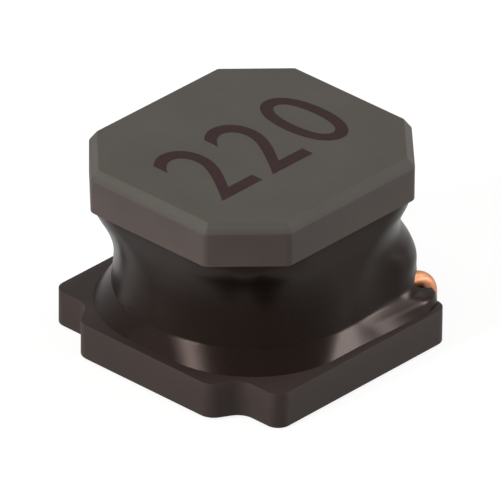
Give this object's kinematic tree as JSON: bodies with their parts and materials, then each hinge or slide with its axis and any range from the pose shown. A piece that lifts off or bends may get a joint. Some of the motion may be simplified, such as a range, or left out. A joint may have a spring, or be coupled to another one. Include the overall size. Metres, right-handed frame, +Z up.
{
  "type": "surface-mount power inductor",
  "caption": "Shielded surface-mount power inductor: ferrite drum core, copper winding, cast magnetic resin wall and flat terminals.",
  "frame": {"origin": "middle of the footprint on the board surface, level with the underside of the terminals", "axes": "+Z up from the board to the pick-up face, X across the two terminals, +Y towards the side where both leads come out"},
  "size_m": [0.006, 0.006, 0.0042],
  "materials": {
    "ferrite": "matt sintered ferrite",
    "enamelled_copper": "clear enamelled copper wire",
    "magnetic_resin": "glossy cast magnetic epoxy",
    "plated_terminal": "satin tin plating",
    "solder": "satin solder"
  },
  "bodies": {
    "root": {"drum_core": "ferrite", "coil_wire": "enamelled_copper", "resin_fill": "magnetic_resin", "terminal_pad_left": "plated_terminal", "terminal_pad_right": "plated_terminal", "solder_left": "solder", "solder_right": "solder"}
  },
  "joints": []
}
